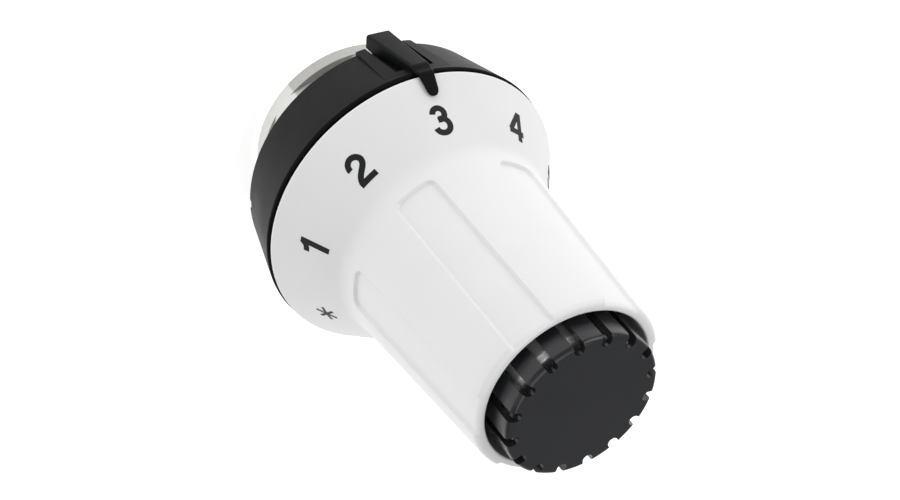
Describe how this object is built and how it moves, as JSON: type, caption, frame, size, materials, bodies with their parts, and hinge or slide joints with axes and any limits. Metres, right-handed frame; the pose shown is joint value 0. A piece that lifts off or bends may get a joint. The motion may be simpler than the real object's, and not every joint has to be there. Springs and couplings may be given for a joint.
{
  "type": "thermostatic radiator valve head",
  "caption": "Thermostatic radiator valve head: white dial with grip panels, black base ring with pointer, slotted black end cap, metal union nut, sensor capsule inside.",
  "frame": {"origin": "centre of the union nut's rear face, where the valve enters", "axes": "+Z along the head's axis from the valve to the end cap; the index pointer faces -Y"},
  "size_m": [0.0524, 0.0535, 0.0776],
  "materials": {
    "white_plastic": "satin-gloss moulded white plastic",
    "black_plastic": "satin moulded black plastic",
    "cap_plastic": "black plastic, fine-grained face and glossier lands",
    "inner_plastic": "natural acetal plastic",
    "nut_metal": "nickel-plated brass, satin",
    "bush_brass": "turned brass",
    "capsule_metal": "drawn bright metal",
    "bellows_metal": "thin bronze",
    "spring_steel": "spring steel",
    "pin_red": "red plastic",
    "pin_blue": "blue plastic"
  },
  "bodies": {
    "base": {"base_ring": "black_plastic", "seat_bush": "bush_brass", "guide_sleeve": "inner_plastic", "index_pointer": "black_plastic", "dial_snap_ring": "spring_steel", "limit_pin_low": "pin_blue", "limit_pin_high": "pin_red"},
    "nut": {"union_nut": "nut_metal"},
    "dial": {"dial_handle": "white_plastic", "setting_sleeve": "inner_plastic", "end_cap": "cap_plastic"},
    "sensor": {"sensor_carrier": "inner_plastic", "capsule_shell": "capsule_metal", "capsule_base": "capsule_metal", "capsule_lock_ring": "inner_plastic", "fill_plug": "bush_brass", "bellows": "bellows_metal", "rod_guide": "inner_plastic"},
    "plunger": {"bellows_end_plate": "bellows_metal", "push_rod": "spring_steel", "spring_cup": "inner_plastic", "spring_retainer": "spring_steel", "overtravel_spring": "spring_steel"},
    "button": {"thrust_button": "bush_brass"}
  },
  "joints": [
    {"name": "nut_spin", "type": "hinge", "parent": "base", "child": "nut", "pos_m": [0, 0, 0.006], "axis": [0, 0, 1], "continuous": true},
    {"name": "dial_turn", "type": "hinge", "parent": "base", "child": "dial", "pos_m": [0, 0, 0.04], "axis": [0, 0, 1], "range_deg": [-120, 80]},
    {"name": "sensor_slide", "type": "slide", "parent": "base", "child": "sensor", "axis": [0, 0, 1], "range_m": [-0.0024, 0.0016]},
    {"name": "plunger_slide", "type": "slide", "parent": "sensor", "child": "plunger", "axis": [0, 0, 1], "range_m": [-0.0025, 0.001], "stiffness_N_per_m": 6000, "deforming": ["bellows"]},
    {"name": "button_overtravel", "type": "slide", "parent": "plunger", "child": "button", "axis": [0, 0, 1], "range_m": [0, 0.004], "stiffness_N_per_m": 9000, "springref_m": -0.005, "deforming": ["overtravel_spring"]}
  ],
  "couplings": [
    {"joint": "sensor_slide", "follows": "dial_turn", "m_per_rad": 0.0011459}
  ]
}
